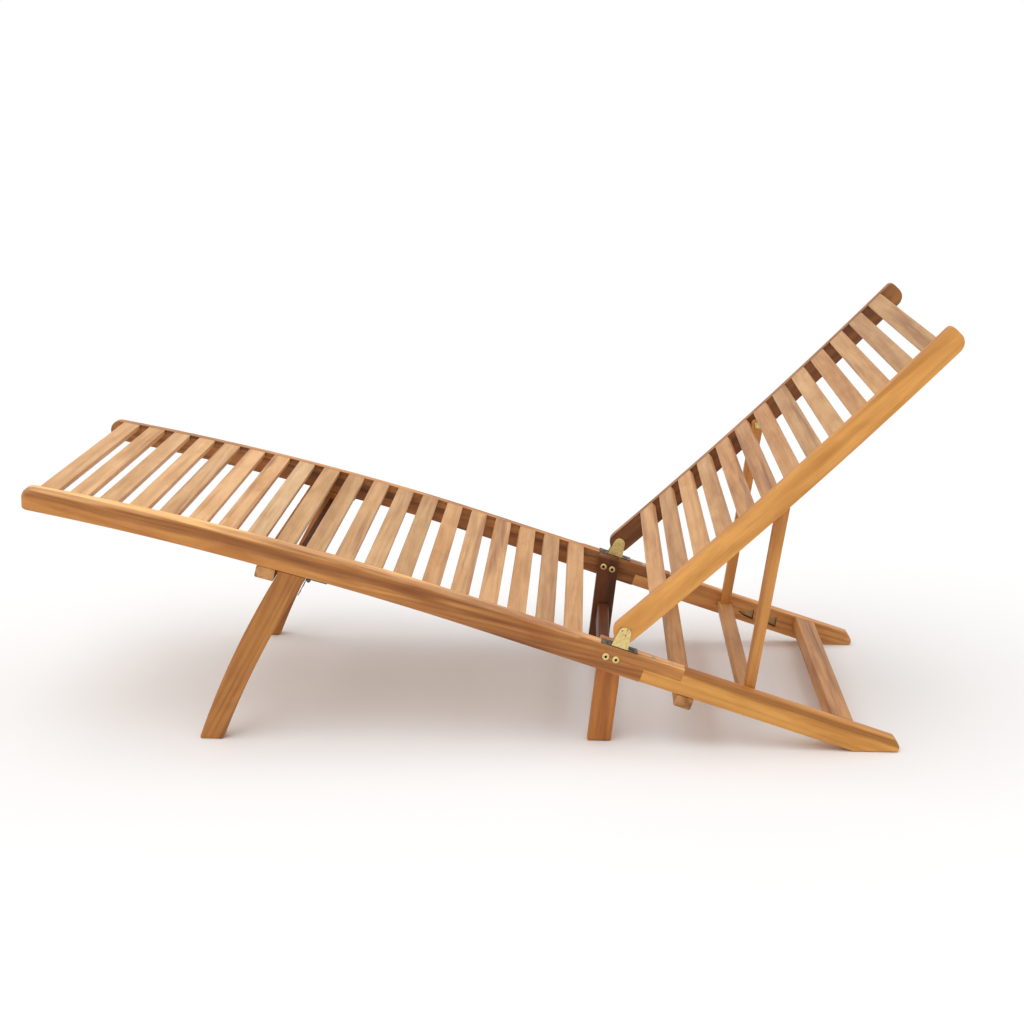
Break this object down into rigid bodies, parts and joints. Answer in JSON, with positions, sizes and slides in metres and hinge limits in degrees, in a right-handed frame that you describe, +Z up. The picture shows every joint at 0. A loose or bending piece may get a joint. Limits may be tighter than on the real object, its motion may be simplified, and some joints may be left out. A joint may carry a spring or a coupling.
{
  "type": "sun lounger",
  "caption": "Slatted wooden sun lounger: reclining back held by a prop and rack, legs that fold under the seat, brass hinge brackets.",
  "frame": {"origin": "middle of the length and width, on the floor", "axes": "+X toward the head end, +Y across to the far side, +Z up"},
  "size_m": [1.7202, 0.6036, 0.8137],
  "materials": {
    "seat_slat_wood": "sanded and oiled, satin",
    "back_slat_wood": "sanded and oiled, satin",
    "front_rail_wood": "sanded and oiled, satin",
    "rear_rail_wood": "sanded and oiled, satin",
    "stile_wood": "sanded and oiled, satin",
    "strut_wood": "sanded and oiled, satin",
    "crossbar_wood": "sanded and oiled, satin",
    "leg_wood": "sanded and oiled, satin",
    "bracket_brass": "satin",
    "leg_hinge_brass": "satin",
    "bolt_brass": "satin"
  },
  "bodies": {
    "base": {"front_rail_near": "front_rail_wood", "front_rail_far": "front_rail_wood", "rear_rail_near": "rear_rail_wood", "rear_rail_far": "rear_rail_wood", "seat_slat_01": "seat_slat_wood", "seat_slat_02": "seat_slat_wood", "seat_slat_03": "seat_slat_wood", "seat_slat_04": "seat_slat_wood", "seat_slat_05": "seat_slat_wood", "seat_slat_06": "seat_slat_wood", "seat_slat_07": "seat_slat_wood", "seat_slat_08": "seat_slat_wood", "seat_slat_09": "seat_slat_wood", "seat_slat_10": "seat_slat_wood", "seat_slat_11": "seat_slat_wood", "seat_slat_12": "seat_slat_wood", "seat_slat_13": "seat_slat_wood", "seat_slat_14": "seat_slat_wood", "seat_slat_15": "seat_slat_wood", "seat_slat_16": "seat_slat_wood", "seat_slat_17": "seat_slat_wood", "seat_slat_18": "seat_slat_wood", "seat_slat_19": "seat_slat_wood", "stop_batten": "crossbar_wood", "leg_hinge_near": "leg_hinge_brass", "leg_hinge_far": "leg_hinge_brass", "rear_leg_near": "leg_wood", "rear_leg_far": "leg_wood", "rear_stretcher": "crossbar_wood", "lap_crossbar": "crossbar_wood", "end_crossbar": "crossbar_wood", "hinge_bracket_near": "bracket_brass", "hinge_bracket_far": "bracket_brass", "rear_leg_bolt_near_1": "bolt_brass", "rear_leg_bolt_near_2": "bolt_brass", "rear_leg_bolt_far_1": "bolt_brass", "rear_leg_bolt_far_2": "bolt_brass"},
    "front_leg_frame": {"front_leg_near": "leg_wood", "front_leg_far": "leg_wood", "leg_crossbar": "crossbar_wood"},
    "backrest": {"back_stile_near": "stile_wood", "back_stile_far": "stile_wood", "back_slat_01": "back_slat_wood", "back_slat_02": "back_slat_wood", "back_slat_03": "back_slat_wood", "back_slat_04": "back_slat_wood", "back_slat_05": "back_slat_wood", "back_slat_06": "back_slat_wood", "back_slat_07": "back_slat_wood", "back_slat_08": "back_slat_wood", "back_slat_09": "back_slat_wood", "back_slat_10": "back_slat_wood", "back_slat_11": "back_slat_wood", "back_slat_12": "back_slat_wood", "back_slat_13": "back_slat_wood", "prop_pivot_near": "bolt_brass", "prop_pivot_far": "bolt_brass"},
    "prop": {"prop_strut_near": "strut_wood", "prop_strut_far": "strut_wood", "prop_bar": "crossbar_wood"}
  },
  "joints": [
    {"name": "backrest_hinge", "type": "hinge", "parent": "base", "child": "backrest", "pos_m": [0.27387, 0, 0.2335], "axis": [0, -1, 0], "range_deg": [-58.5, 118.5]},
    {"name": "prop_hinge", "type": "hinge", "parent": "backrest", "child": "prop", "pos_m": [0.56542, 0, 0.50879], "axis": [0, -1, 0], "range_deg": [0, 130]},
    {"name": "front_leg_hinge", "type": "hinge", "parent": "base", "child": "front_leg_frame", "pos_m": [-0.32259, 0, 0.32595], "axis": [0, -1, 0], "range_deg": [0, 99]}
  ]
}
